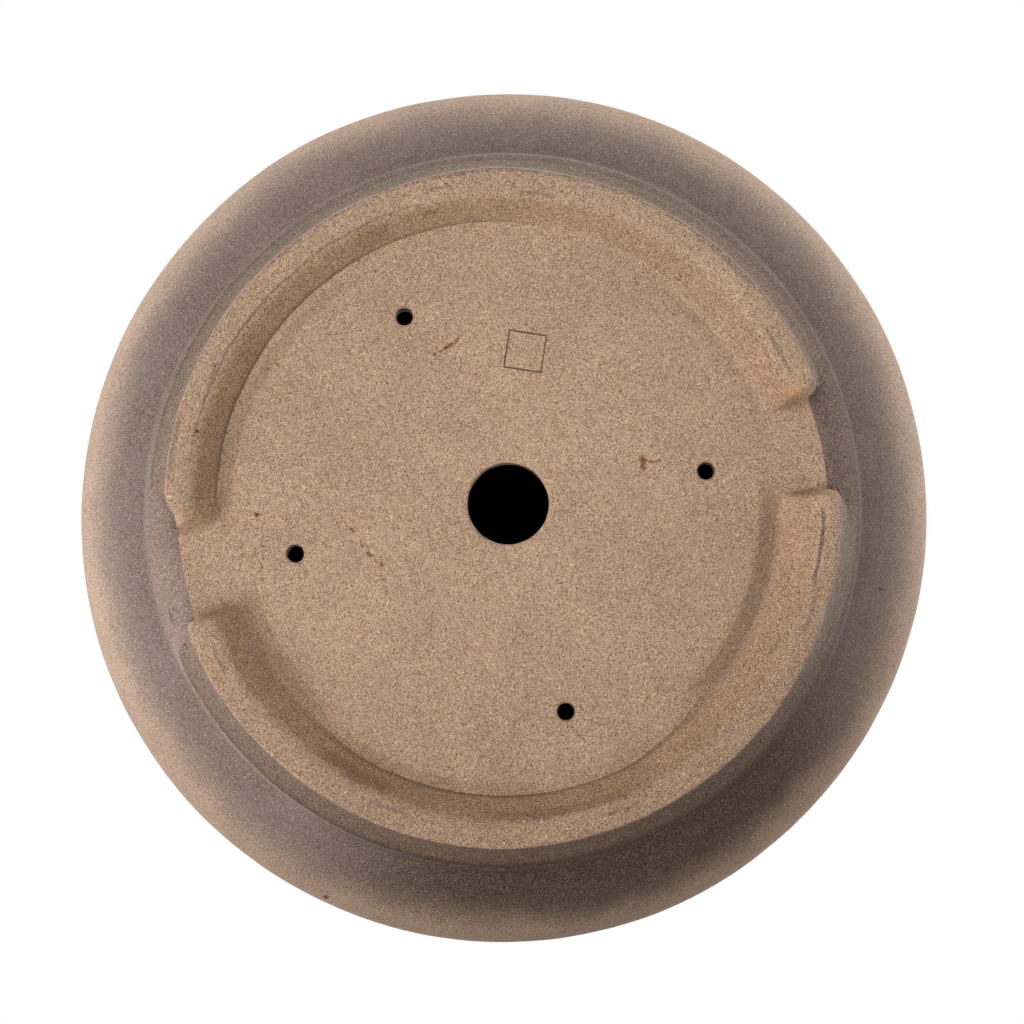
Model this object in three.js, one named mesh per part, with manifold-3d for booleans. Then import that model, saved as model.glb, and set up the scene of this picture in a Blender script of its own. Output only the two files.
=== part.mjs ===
// Round bonsai pot in unglazed stoneware: a bellied bowl on a foot ring that two gaps divide.
// Millimetres, +Z up. The origin is on the axis of the pot, at the level of the foot treads.
// The X axis runs through the two foot gaps.

import * as THREE from 'three';
import { mergeVertices } from 'three/addons/utils/BufferGeometryUtils.js';
import Module from 'manifold-3d';

const wasm = await Module();
wasm.setup();

// Joints between the clay members
const SLIP_GAP = 0.3; // joint left where two members lie round or under each other

// Floor slab with its holes
const FLOOR_RADIUS = 111.2;
const FLOOR_THICKNESS = 9;
const HOLE_MOUTH_EASE = 0.5; // easing of the hole mouths
const DRAIN_RADIUS = 14;
const DRAIN_CENTRE = new THREE.Vector2(2.2, -1.9); // punched a little off the axis
const WIRE_HOLE_RADIUS = 3.2;
const WIRE_HOLE_CENTRES = [
  new THREE.Vector2(-20.2, -71.9),
  new THREE.Vector2(70.8, 0.3),
  new THREE.Vector2(-72.5, 0.7),
  new THREE.Vector2(7.7, 71.6),
];

// Bowl wall
const WALL_THICKNESS = 9;
const CORNER_WIDTH = 10.9; // rounded bottom corner, from the slab's edge out to the step
const CORNER_RISE = 5.6;
const CORNER_ROUNDNESS = 1.8; // exponent of the corner's curve
const STEP_WIDTH = 2.2; // turned step between the corner and the belly
const STEP_RISE = 3;
const BELLY_SWELL = 25.4; // from the top of the step out to the girth
const BELLY_RISE = 33.4;
const BELLY_START_ANGLE = THREE.MathUtils.degToRad(24); // slope of the belly just above the step
const BELLY_START_PULL = 13;
const BELLY_GIRTH_PULL = 17;
const SHOULDER_RISE = 27; // from the girth up to the rim band
const SHOULDER_DRAW_IN = 3.6;
const SHOULDER_GIRTH_PULL = 12;
const SHOULDER_TOP_PULL = 8;
const SHOULDER_TOP_LEAN = THREE.MathUtils.degToRad(14); // inward lean where the rim sits
const SLAB_LAP = 8; // how far the wall's inner coil laps over the slab
const INNER_FILLET = 9; // height of the coil above the slab

// Rim band
const RIM_HEIGHT = 11;
const RIM_THICKNESS = 12.5; // thicker than the wall, so the lip rolls inward
const RIM_LEAN = 1.6; // how much the band's outside draws in towards the lip
const LIP_RADIUS = 4.6;
const RIM_UNDERCUT = 2; // easing under the inner roll

// Foot ring
const FOOT_HEIGHT = 10;
const FOOT_FLARE = 7.1; // from the tread's outer edge out to the step
const TREAD_WIDTH = 8.5;
const TREAD_ARRIS = 0.9;
const INNER_FLANK_WIDTH = 9.5; // from the tread in to the root on the floor
const INNER_FLANK_EASE = 1.6; // rise of the handle that eases the inner flank into the tread
const FOOT_SHOULDER = 0.4; // ledge of the wall's corner left outside the foot
const FOOT_GAP_WIDTH = 32.4; // between the roots of the two arcs, at the tread's outer edge
const BACK_END_LEAN = 1.8; // how far the tread stops short of the root at a cut end
const FRONT_END_LEAN = 4.1; // the front arc's ends were cut at more of a slant
const END_CORNER_OUTER = 4.2; // rounding of the cut ends in plan, outside and inside
const END_CORNER_INNER = 2.6;
const END_EDGE_RADIUS = 1.5; // rounding where the tread turns down into the cut end
const FLANK_HANDLE = 1 / 3; // reach of the flank curves' handles, of the flank's width and height

// Fineness of the round forms
const ROUND_SEGMENTS = 72;
const DRAIN_SEGMENTS = 48;
const WIRE_HOLE_SEGMENTS = 24;
const CORNER_STEPS = 5;
const BELLY_STEPS = 8;
const SHOULDER_STEPS = 6;
const FILLET_STEPS = 4;
const LIP_STEPS = 5;
const FLANK_STEPS = 6;
const END_STEPS = 5;
const MERGE_DISTANCE = 0.001; // points of a surface closer than this are one point

// Levels and radii that follow from the sizes above
const FLOOR_TOP = FOOT_HEIGHT + FLOOR_THICKNESS;
const CORNER_INNER_RADIUS = FLOOR_RADIUS + SLIP_GAP;
const STEP_RADIUS = CORNER_INNER_RADIUS + CORNER_WIDTH;
const STEP_HEIGHT = FOOT_HEIGHT + CORNER_RISE;
const BELLY_START = new THREE.Vector2(STEP_RADIUS + STEP_WIDTH, STEP_HEIGHT + STEP_RISE);
const GIRTH = new THREE.Vector2(BELLY_START.x + BELLY_SWELL, BELLY_START.y + BELLY_RISE);
const SHOULDER_TOP = new THREE.Vector2(GIRTH.x - SHOULDER_DRAW_IN, GIRTH.y + SHOULDER_RISE);
const RIM_TOP = SHOULDER_TOP.y + RIM_HEIGHT;
const TREAD_OUTER_RADIUS = STEP_RADIUS - FOOT_FLARE;
const TREAD_INNER_RADIUS = TREAD_OUTER_RADIUS - TREAD_WIDTH;
const ROOT_RADIUS = TREAD_INNER_RADIUS - INNER_FLANK_WIDTH;
const TREAD_FLAT = TREAD_WIDTH - 2 * TREAD_ARRIS;
const CORNER_LIMIT = Math.min(TREAD_FLAT / (END_CORNER_OUTER + END_CORNER_INNER), 1);
const END_OUTER = END_CORNER_OUTER * CORNER_LIMIT; // the two corners share the tread's flat
const END_INNER = END_CORNER_INNER * CORNER_LIMIT;

// Bare clay shows under the pot, and a dark wash lies on the outside of the wall
const bareClay = new THREE.MeshStandardMaterial({ color: 0xab8b72, roughness: 0.9, metalness: 0 });
const footClay = new THREE.MeshStandardMaterial({ color: 0xb0917a, roughness: 0.92, metalness: 0 });
const washedClay = new THREE.MeshStandardMaterial({ color: 0x6f625b, roughness: 0.8, metalness: 0 });
const rimClay = new THREE.MeshStandardMaterial({ color: 0xbba08a, roughness: 0.88, metalness: 0 });

// Turns a closed profile of radius and height round the Z axis
function turned(profile) {
  const closed = [...profile, profile[0]];
  const geometry = new THREE.LatheGeometry(closed, ROUND_SEGMENTS);
  geometry.rotateX(Math.PI / 2);
  return geometry;
}

// A closed body from its corner points and triangles
function bodyFromTriangles(positions, triangles) {
  const geometry = new THREE.BufferGeometry();
  geometry.setAttribute('position', new THREE.Float32BufferAttribute(positions, 3));
  geometry.setIndex(triangles);
  geometry.computeVertexNormals();
  return geometry;
}

// A solid for cutting, from a closed geometry whose seams are merged by position
function solidOf(geometry) {
  geometry.deleteAttribute('normal');
  geometry.deleteAttribute('uv');
  const merged = mergeVertices(geometry, MERGE_DISTANCE);
  const triangles = [];
  for (let i = 0; i < merged.index.count; i += 3) {
    const [a, b, c] = merged.index.array.slice(i, i + 3);
    if (a !== b && b !== c && c !== a) {
      triangles.push(a, b, c);
    }
  }
  const mesh = new wasm.Mesh({
    numProp: 3,
    vertProperties: merged.attributes.position.array,
    triVerts: new Uint32Array(triangles),
  });
  return new wasm.Manifold(mesh);
}

function geometryOf(solid) {
  const mesh = solid.getMesh();
  return bodyFromTriangles(mesh.vertProperties, Array.from(mesh.triVerts));
}

// The cutter of a round hole through the slab. Its cones reach as far out of the slab as into it,
// so each mouth is wider than the bore by one easing where it meets the slab's face.
function holeCutter(radius, centre, segments) {
  const coneRadius = radius + 2 * HOLE_MOUTH_EASE;
  const profile = [
    new THREE.Vector2(0, FOOT_HEIGHT - HOLE_MOUTH_EASE),
    new THREE.Vector2(coneRadius, FOOT_HEIGHT - HOLE_MOUTH_EASE),
    new THREE.Vector2(radius, FOOT_HEIGHT + HOLE_MOUTH_EASE),
    new THREE.Vector2(radius, FLOOR_TOP - HOLE_MOUTH_EASE),
    new THREE.Vector2(coneRadius, FLOOR_TOP + HOLE_MOUTH_EASE),
    new THREE.Vector2(0, FLOOR_TOP + HOLE_MOUTH_EASE),
  ];
  const geometry = new THREE.LatheGeometry(profile, segments);
  geometry.rotateX(Math.PI / 2);
  geometry.translate(centre.x, centre.y, 0);
  return solidOf(geometry);
}

// Floor slab: a rolled disc with one drain hole and four holes for the tie wires
function floorSlab() {
  const profile = [
    new THREE.Vector2(0, FOOT_HEIGHT),
    new THREE.Vector2(FLOOR_RADIUS, FOOT_HEIGHT),
    new THREE.Vector2(FLOOR_RADIUS, FLOOR_TOP),
    new THREE.Vector2(0, FLOOR_TOP),
  ];
  const geometry = new THREE.LatheGeometry(profile, ROUND_SEGMENTS);
  geometry.rotateX(Math.PI / 2);
  let slab = solidOf(geometry);
  slab = slab.subtract(holeCutter(DRAIN_RADIUS, DRAIN_CENTRE, DRAIN_SEGMENTS));
  for (const centre of WIRE_HOLE_CENTRES) {
    slab = slab.subtract(holeCutter(WIRE_HOLE_RADIUS, centre, WIRE_HOLE_SEGMENTS));
  }
  return geometryOf(slab);
}

// Height of the wall's rounded bottom corner at a radius
function cornerHeight(radius) {
  const along = (radius - CORNER_INNER_RADIUS) / CORNER_WIDTH;
  return FOOT_HEIGHT + CORNER_RISE * along ** CORNER_ROUNDNESS;
}

// The points of a curve moved square to it by the wall's thickness, to the inner side
function innerSideOf(curve, steps) {
  return Array.from({ length: steps + 1 }, (_, i) => {
    const point = curve.getPoint(i / steps);
    const along = curve.getTangent(i / steps);
    return new THREE.Vector2(point.x - along.y * WALL_THICKNESS, point.y + along.x * WALL_THICKNESS);
  });
}

// Bowl wall: it wraps the slab's edge, laps over the slab inside and swells out to the girth
function bowlWall() {
  const belly = new THREE.CubicBezierCurve(
    BELLY_START,
    new THREE.Vector2(
      BELLY_START.x + BELLY_START_PULL * Math.cos(BELLY_START_ANGLE),
      BELLY_START.y + BELLY_START_PULL * Math.sin(BELLY_START_ANGLE),
    ),
    new THREE.Vector2(GIRTH.x, GIRTH.y - BELLY_GIRTH_PULL),
    GIRTH,
  );
  const shoulder = new THREE.CubicBezierCurve(
    GIRTH,
    new THREE.Vector2(GIRTH.x, GIRTH.y + SHOULDER_GIRTH_PULL),
    new THREE.Vector2(
      SHOULDER_TOP.x + SHOULDER_TOP_PULL * Math.sin(SHOULDER_TOP_LEAN),
      SHOULDER_TOP.y - SHOULDER_TOP_PULL * Math.cos(SHOULDER_TOP_LEAN),
    ),
    SHOULDER_TOP,
  );
  const corner = Array.from({ length: CORNER_STEPS + 1 }, (_, i) => {
    const radius = CORNER_INNER_RADIUS + (CORNER_WIDTH * i) / CORNER_STEPS;
    return new THREE.Vector2(radius, cornerHeight(radius));
  });
  const outside = [
    ...corner,
    ...belly.getPoints(BELLY_STEPS),
    ...shoulder.getPoints(SHOULDER_STEPS).slice(1),
  ];
  const inside = [
    ...innerSideOf(belly, BELLY_STEPS),
    ...innerSideOf(shoulder, SHOULDER_STEPS).slice(1, -1),
  ].filter((point) => point.y > FLOOR_TOP + INNER_FILLET);
  inside.push(new THREE.Vector2(SHOULDER_TOP.x - WALL_THICKNESS, SHOULDER_TOP.y));
  inside.reverse();
  const filletTop = inside[inside.length - 1];
  const fillet = new THREE.QuadraticBezierCurve(
    filletTop,
    new THREE.Vector2(FLOOR_RADIUS, FLOOR_TOP + SLIP_GAP),
    new THREE.Vector2(FLOOR_RADIUS - SLAB_LAP, FLOOR_TOP),
  );
  const seat = [new THREE.Vector2(CORNER_INNER_RADIUS, FLOOR_TOP)];
  return turned([...outside, ...inside, ...fillet.getPoints(FILLET_STEPS).slice(1), ...seat]);
}

// Rim band: a rolled coil seated on the top edge of the wall
function rimBand() {
  const inner = SHOULDER_TOP.x - RIM_THICKNESS;
  const lipOuter = SHOULDER_TOP.x - RIM_LEAN - LIP_RADIUS;
  const lipInner = inner + LIP_RADIUS;
  const lipCentre = RIM_TOP - LIP_RADIUS;
  const outline = [
    new THREE.Vector2(inner + RIM_UNDERCUT, SHOULDER_TOP.y),
    new THREE.Vector2(SHOULDER_TOP.x, SHOULDER_TOP.y),
  ];
  for (let i = 0; i <= LIP_STEPS; i += 1) {
    const turn = (Math.PI / 2) * (i / LIP_STEPS);
    outline.push(new THREE.Vector2(
      lipOuter + LIP_RADIUS * Math.cos(turn),
      lipCentre + LIP_RADIUS * Math.sin(turn),
    ));
  }
  for (let i = 0; i <= LIP_STEPS; i += 1) {
    const turn = (Math.PI / 2) * (1 + i / LIP_STEPS);
    outline.push(new THREE.Vector2(
      lipInner + LIP_RADIUS * Math.cos(turn),
      lipCentre + LIP_RADIUS * Math.sin(turn),
    ));
  }
  outline.push(new THREE.Vector2(inner, SHOULDER_TOP.y + RIM_UNDERCUT));
  return turned(outline);
}

// How far a rounding of a given radius has drawn in at a distance from the edge
function drawnIn(distance, radius) {
  const rest = Math.max(radius - distance, 0);
  return radius - Math.sqrt(radius * radius - rest * rest);
}

// Moulded section of the foot at a distance from its cut end, as radius and height
function footSection(fromEnd) {
  const outerDraw = drawnIn(fromEnd, END_OUTER);
  const innerDraw = drawnIn(fromEnd, END_INNER);
  const treadHeight = drawnIn(fromEnd, END_EDGE_RADIUS);
  const root = new THREE.Vector2(ROOT_RADIUS + innerDraw, FOOT_HEIGHT);
  const treadInner = new THREE.Vector2(TREAD_INNER_RADIUS + innerDraw, treadHeight);
  const treadOuter = new THREE.Vector2(TREAD_OUTER_RADIUS - outerDraw, treadHeight + TREAD_ARRIS);
  const flankRadius = STEP_RADIUS - FOOT_SHOULDER - outerDraw;
  const flankTop = new THREE.Vector2(flankRadius, cornerHeight(flankRadius) - SLIP_GAP);
  const innerReach = INNER_FLANK_WIDTH * FLANK_HANDLE;
  const heightReach = FOOT_HEIGHT * FLANK_HANDLE;
  const innerFlank = new THREE.CubicBezierCurve(
    root,
    new THREE.Vector2(root.x + innerReach, root.y - heightReach),
    new THREE.Vector2(treadInner.x - innerReach, treadInner.y + INNER_FLANK_EASE),
    treadInner,
  );
  const outerFlank = new THREE.CubicBezierCurve(
    treadOuter,
    new THREE.Vector2(treadOuter.x, treadOuter.y + heightReach),
    new THREE.Vector2(flankTop.x - FOOT_FLARE * FLANK_HANDLE, flankTop.y - heightReach),
    flankTop,
  );
  const seat = Array.from({ length: CORNER_STEPS }, (_, i) => {
    const radius = THREE.MathUtils.lerp(flankTop.x, CORNER_INNER_RADIUS, (i + 1) / CORNER_STEPS);
    return new THREE.Vector2(radius, cornerHeight(radius) - SLIP_GAP);
  });
  return [
    ...innerFlank.getPoints(FLANK_STEPS),
    new THREE.Vector2(treadOuter.x - TREAD_ARRIS, treadHeight),
    ...outerFlank.getPoints(FLANK_STEPS),
    ...seat,
    new THREE.Vector2(FLOOR_RADIUS, FOOT_HEIGHT),
  ];
}

// The stations of one arc: drawn in and leaning at both ends, plain between them
function footStations(endLean) {
  const gapAngle = Math.asin(FOOT_GAP_WIDTH / 2 / TREAD_OUTER_RADIUS);
  const segmentAngle = (2 * Math.PI) / ROUND_SEGMENTS;
  const endAngle = (END_OUTER + endLean) / TREAD_INNER_RADIUS;
  const firstPlain = Math.floor((gapAngle + endAngle) / segmentAngle) + 1;
  const lastPlain = ROUND_SEGMENTS / 2 - firstPlain;
  const stations = [];
  for (let i = 0; i <= END_STEPS; i += 1) {
    const fromEnd = END_OUTER * (1 - Math.cos((Math.PI / 2) * (i / END_STEPS)));
    stations.push({ fromEnd, angle: gapAngle, side: 1 });
  }
  for (let i = firstPlain; i <= lastPlain; i += 1) {
    stations.push({ fromEnd: Infinity, angle: i * segmentAngle, side: 0 });
  }
  for (let i = END_STEPS; i >= 0; i -= 1) {
    const fromEnd = END_OUTER * (1 - Math.cos((Math.PI / 2) * (i / END_STEPS)));
    stations.push({ fromEnd, angle: Math.PI - gapAngle, side: -1 });
  }
  return stations;
}

// Foot arc: the moulded section carried round the axis from one gap to the other.
// Its seat lies flat under the slab and follows the rounded corner of the wall.
function footArc(endLean) {
  const positions = [];
  const triangles = [];
  const stations = footStations(endLean);
  const sections = stations.map((station) => footSection(station.fromEnd));
  const count = sections[0].length;
  stations.forEach((station, i) => {
    for (const point of sections[i]) {
      const lean = endLean * Math.max(1 - point.y / FOOT_HEIGHT, 0);
      const shift = station.side === 0 ? 0 : (station.fromEnd + lean) / TREAD_INNER_RADIUS;
      const angle = station.angle + station.side * shift;
      positions.push(point.x * Math.cos(angle), point.x * Math.sin(angle), point.y);
    }
  });
  for (let i = 0; i < stations.length - 1; i += 1) {
    for (let j = 0; j < count; j += 1) {
      const next = (j + 1) % count;
      const here = i * count;
      const there = here + count;
      triangles.push(here + j, there + next, here + next);
      triangles.push(here + j, there + j, there + next);
    }
  }
  const last = (stations.length - 1) * count;
  for (const [a, b, c] of THREE.ShapeUtils.triangulateShape(sections[0], [])) {
    triangles.push(a, b, c);
    triangles.push(last + a, last + c, last + b);
  }
  return bodyFromTriangles(positions, triangles);
}

function member(name, geometry, material) {
  const mesh = new THREE.Mesh(geometry, material);
  mesh.name = name;
  return mesh;
}

const pot = new THREE.Group();
pot.add(member('floor_slab', floorSlab(), bareClay));
pot.add(member('bowl_wall', bowlWall(), washedClay));
pot.add(member('rim_band', rimBand(), rimClay));
pot.add(member('foot_arc_back', footArc(BACK_END_LEAN), footClay));

const frontArc = member('foot_arc_front', footArc(FRONT_END_LEAN), footClay);
frontArc.rotation.z = Math.PI;
pot.add(frontArc);

export default pot;
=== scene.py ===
import functools
import math

import bmesh
import bpy
import numpy as np
from mathutils import Matrix, Vector
from mathutils.geometry import delaunay_2d_cdt


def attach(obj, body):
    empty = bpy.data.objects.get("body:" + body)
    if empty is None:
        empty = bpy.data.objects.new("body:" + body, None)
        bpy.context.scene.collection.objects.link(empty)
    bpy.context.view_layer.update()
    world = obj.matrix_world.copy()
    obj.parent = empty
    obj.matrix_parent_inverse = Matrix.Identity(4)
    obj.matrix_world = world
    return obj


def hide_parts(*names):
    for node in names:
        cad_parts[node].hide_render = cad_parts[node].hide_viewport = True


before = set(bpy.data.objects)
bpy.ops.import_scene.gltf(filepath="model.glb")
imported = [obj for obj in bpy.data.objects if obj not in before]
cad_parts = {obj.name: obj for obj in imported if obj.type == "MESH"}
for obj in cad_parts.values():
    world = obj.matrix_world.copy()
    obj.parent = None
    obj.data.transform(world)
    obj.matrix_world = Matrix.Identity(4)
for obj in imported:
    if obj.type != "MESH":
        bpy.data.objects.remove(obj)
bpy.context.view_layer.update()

MM = 0.001
WELD = 2e-7  # metres
rng = np.random.default_rng(11)

# Sizes of the pot in millimetres. They are those of the solids, apart from the step and the
# tie-wire holes, which are finer here, and the stamp, which the solids don't have.
FLOOR_Z = 10.0
FLOOR_TOP = 19.0
FLOOR_RADIUS = 111.2
CORNER_INNER = 111.5
CORNER_WIDTH = 10.9
CORNER_RISE = 5.6
CORNER_ROUNDNESS = 1.8
STEP_RADIUS = CORNER_INNER + CORNER_WIDTH + 0.4
STEP_WIDTH = 0.8
STEP_RISE = 1.0
WALL = 9.0
GIRTH = (150.0, 52.0)
SHOULDER_TOP = (146.4, 79.0)
RIM_TOP = 90.0
RIM_THICKNESS = 12.5
RIM_LEAN = 1.6
LIP_RADIUS = 4.6
FOOT_TOP_RADIUS = 122.0

# Holes: place of the axis, radius of the bore, rounding of the mouth and number of sides
DRAIN = (2.2, -1.9, 13.95, 0.6, 128)
WIRE_HOLES = [(-20.2, -71.9), (70.8, 0.3), (-72.5, 0.7), (7.7, 71.6)]
HOLES = [DRAIN] + [(x, y, 2.9, 0.5, 40) for x, y in WIRE_HOLES]

# Impressed square: half its side, and the patch of fine mesh that it lies in
STAMP_CENTRE = (18.2, -52.1)
STAMP_TURN = 20.05
STAMP_HALF = 6.4
STAMP_PATCH = 7.35
STAMP_CELLS = 98

COLUMNS = 480
# The photograph's right lies at this angle in the part's frame
PHOTO_TURN = math.radians(11.25)


# ---------- small tools for shapes ----------
def smooth(low, high, value):
    """0 below the low value and 1 above the high one, with a smooth rise between."""
    t = np.clip((np.asarray(value, float) - low) / (high - low), 0, 1)
    return t * t * (3 - 2 * t)


def facing(degrees):
    """Direction at an angle round the axis."""
    return (math.cos(math.radians(degrees)), math.sin(math.radians(degrees)), 0)


def round_table(table, theta):
    """A smooth closed line through measured values, given as (degrees, value)."""
    at, values = np.array(table, float).T
    theta = np.asarray(theta, float) % 360
    i = np.searchsorted(at, theta, side="right") - 1
    j = (i + 1) % len(at)
    t = smooth(at[i] - 360 * (i < 0), at[j] + 360 * (i + 1 == len(at)), theta)
    return values[i] * (1 - t) + values[j] * t


class Waves:
    """Smooth random relief: plane waves in random directions, of unit size."""

    def __init__(self, shortest, longest, count):
        length = np.exp(rng.uniform(np.log(shortest), np.log(longest), count))
        way = rng.normal(size=(count, 3))
        way /= np.linalg.norm(way, axis=1)[:, None]
        self.k = 2 * np.pi * way / length[:, None]
        self.phase = rng.uniform(0, 2 * np.pi, count)
        self.size = math.sqrt(2 / count)

    def __call__(self, points):
        return self.size * np.sin(points @ self.k.T + self.phase).sum(-1)


broad = [Waves(70, 160, 10) for _ in range(3)]
middle = [Waves(14, 40, 18) for _ in range(3)]
fine = [Waves(4, 10, 24) for _ in range(3)]


def handmade(points, *sizes):
    """Moves points by the broad, middle and fine wander that hands and fire leave in clay."""
    moved = np.array(points, float)
    for axis in range(3):
        moved[..., axis] += sum(size * waves[axis](points)
                                for size, waves in zip(sizes, (broad, middle, fine)))
    return moved


def linked(name, data):
    """A new object in the scene."""
    made = bpy.data.objects.new(name, data)
    bpy.context.scene.collection.objects.link(made)
    return made


def mesh_object(name, points, faces):
    """An object from points in millimetres and lists of their numbers."""
    mesh = bpy.data.meshes.new(name)
    mesh.from_pydata((np.asarray(points, float) * MM).tolist(), [], faces)
    return linked(name, mesh)


def clay_piece(name, points, *faces):
    """A welded, smooth-shaded piece from points and arrays of quads or triangles."""
    piece = mesh_object(name, points, [face for kind in faces for face in kind.tolist()])
    work = bmesh.new()
    work.from_mesh(piece.data)
    bmesh.ops.remove_doubles(work, verts=work.verts, dist=WELD)
    bmesh.ops.recalc_face_normals(work, faces=work.faces)
    work.to_mesh(piece.data)
    work.free()
    piece.data.shade_smooth()
    return piece


def grid_quads(rows, columns, closed):
    """Quads of a grid of rows by columns, closed round both ways or open."""
    i = np.arange(rows if closed else rows - 1)
    j = np.arange(columns if closed else columns - 1)
    i, j = np.meshgrid(i, j, indexing="ij")
    i2, j2 = (i + 1) % rows, (j + 1) % columns
    quad = np.stack([i * columns + j, i2 * columns + j, i2 * columns + j2, i * columns + j2], -1)
    return quad.reshape(-1, 4)


def bezier(p0, p1, p2, p3, count):
    """A cubic curve from the first point to the last, drawn by the two between them."""
    t = np.linspace(0, 1, count)[:, None]
    p0, p1, p2, p3 = (np.array(p, float) for p in (p0, p1, p2, p3))
    return (1 - t) ** 3 * p0 + 3 * (1 - t) ** 2 * t * p1 + 3 * (1 - t) * t * t * p2 + t**3 * p3


def eased(points, radii, steps=5):
    """An open line with its inner corners rounded by quadratic arcs of the given reach."""
    points = [np.array(p, float) for p in points]
    out = [points[0]]
    for before, corner, after, reach in zip(points, points[1:], points[2:], radii):
        to_before, to_after = before - corner, after - corner
        a = min(reach, 0.49 * np.linalg.norm(to_before))
        b = min(reach, 0.49 * np.linalg.norm(to_after))
        start = corner + to_before / np.linalg.norm(to_before) * a
        end = corner + to_after / np.linalg.norm(to_after) * b
        for t in np.linspace(0, 1, steps + 1):
            out.append((1 - t) ** 2 * start + 2 * t * (1 - t) * corner + t * t * end)
    out.append(points[-1])
    return np.array(out)


def spaced(line, gap):
    """The same line with points added so that none lie further apart than the gap."""
    out = [line[0]]
    for a, b in zip(line, line[1:]):
        parts = max(1, math.ceil(np.linalg.norm(b - a) / gap))
        out += [a + (b - a) * (k + 1) / parts for k in range(parts)]
    return np.array(out)


# ---------- the forms that several pieces share ----------
def corner_height(radius):
    """Height of the wall's rounded bottom corner at a radius."""
    along = np.clip((np.asarray(radius, float) - CORNER_INNER) / CORNER_WIDTH, 0, None)
    return FLOOR_Z + CORNER_RISE * along**CORNER_ROUNDNESS


# Radii of the foot ring at angles round the axis, in degrees and millimetres
ROOT = [(8, 95.4), (16, 94.1), (28, 93.7), (50, 94.0), (62, 95.3), (76, 97.0), (92, 97.3),
        (130, 97.2), (146, 96.6), (160, 95.9), (172, 95.4), (188, 96.6), (196, 98.3), (212, 98.7),
        (240, 99.3), (256, 99.7), (276, 99.7), (292, 99.0), (306, 97.4), (322, 95.9), (338, 95.4),
        (351, 96.6)]
CREASE = [(8, 109.0), (26, 109.0), (40, 108.0), (60, 107.5), (80, 107.0), (104, 106.4),
          (126, 106.1), (150, 105.2), (172, 105.4), (188, 106.4), (212, 107.0), (232, 107.6),
          (262, 107.8), (290, 107.4), (312, 107.0), (340, 106.4), (351, 106.4)]
TREAD_EDGE = [(8, 115.0), (24, 114.9), (50, 115.1), (80, 114.7), (110, 115.1), (140, 114.7),
              (160, 114.9), (172, 114.8), (188, 114.9), (214, 115.3), (232, 115.8), (260, 116.0),
              (281, 116.9), (296, 116.3), (312, 115.7), (332, 115.4), (351, 115.0)]
# How open the luted joint at the root is: 1 a clear line, 0 smoothed over
ROOT_LINE = [(8, 0.15), (30, 0.0), (56, 0.1), (66, 0.6), (80, 1.0), (128, 0.8), (142, 0.25),
             (172, 0.0), (188, 0.05), (193, 0.8), (215, 1.0), (246, 0.9), (262, 0.85), (288, 0.75),
             (298, 0.25), (310, 0.0), (351, 0.0)]
# Depth of the finger-smoothed hollow in the floor beside the root
HOLLOW = [(0, 0.0), (8, 1.1), (40, 1.15), (70, 0.7), (90, 0.5), (130, 0.65), (160, 1.0),
          (172, 0.4), (180, 0.0), (188, 0.3), (200, 0.7), (240, 0.5), (280, 0.35), (312, 0.5),
          (340, 0.8), (352, 0.5)]


def floor_height(radius, theta):
    """Underside of the slab: nearly flat, with a shallow hollow beside the foot."""
    radius = np.asarray(radius, float)
    root = round_table(ROOT, theta)
    depth = round_table(HOLLOW, theta)
    inside = smooth(-8.5, -1.0, radius - root) * (1 - smooth(103, 110, radius))
    return FLOOR_Z + depth * inside


def slab_z(xy):
    """Height of the slab's underside with the wander that the hand left in it."""
    radius = np.hypot(xy[:, 0], xy[:, 1])
    theta = np.degrees(np.arctan2(xy[:, 1], xy[:, 0])) % 360
    flat = np.column_stack([xy, np.zeros(len(xy))])
    calm = 1 - smooth(100, 110, radius)
    wander = (0.10 * middle[0](flat) + 0.08 * broad[1](flat) + 0.02 * fine[1](flat)) * calm
    return floor_height(radius, theta) + wander


# ---------- bowl wall ----------
def wall_section():
    """Closed section of the wall: corner, outside, inside, and the seat on the slab's edge."""
    radius = np.linspace(FLOOR_RADIUS + 0.04, STEP_RADIUS - 0.5, 18)
    radius = np.append(FLOOR_RADIUS, radius)
    corner = np.stack([radius, corner_height(radius)], 1)
    step_foot = np.array([STEP_RADIUS, float(corner_height(STEP_RADIUS))])
    step_head = step_foot + [STEP_WIDTH, STEP_RISE]
    lift, lean = math.radians(24), math.radians(14)
    belly = bezier(step_head, step_head + 13 * np.array([math.cos(lift), math.sin(lift)]),
                   (GIRTH[0], GIRTH[1] - 17), GIRTH, 46)
    shoulder = bezier(GIRTH, (GIRTH[0], GIRTH[1] + 12),
                      (SHOULDER_TOP[0] + 8 * math.sin(lean), SHOULDER_TOP[1] - 8 * math.cos(lean)),
                      SHOULDER_TOP, 26)
    step = eased([corner[-1], step_foot, step_head, belly[2]], [0.5, 0.9], 6)
    outside = np.concatenate([corner[:-1], step, belly[3:], shoulder[1:]])
    both = np.concatenate([belly, shoulder[1:]])
    along = np.gradient(both, axis=0)
    along /= np.linalg.norm(along, axis=1)[:, None]
    inner = both + WALL * np.stack([-along[:, 1], along[:, 0]], 1)
    inner = inner[inner[:, 1] > FLOOR_TOP + WALL]
    inner[-1] = (SHOULDER_TOP[0] - WALL, SHOULDER_TOP[1])
    inner = inner[::-1]
    t = np.linspace(0, 1, 14)[1:, None]
    seam = np.array([FLOOR_RADIUS, FLOOR_TOP])
    fillet = (1 - t) ** 2 * inner[-1] + 2 * t * (1 - t) * seam + t * t * (seam - [8, 0.05])
    seat = np.array([[FLOOR_RADIUS - 4, FLOOR_TOP], [FLOOR_RADIUS, FLOOR_TOP],
                     [FLOOR_RADIUS, FLOOR_Z + 4], [FLOOR_RADIUS, FLOOR_Z + 0.5]])
    return np.concatenate([outside, inner, fillet, seat])


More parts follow.
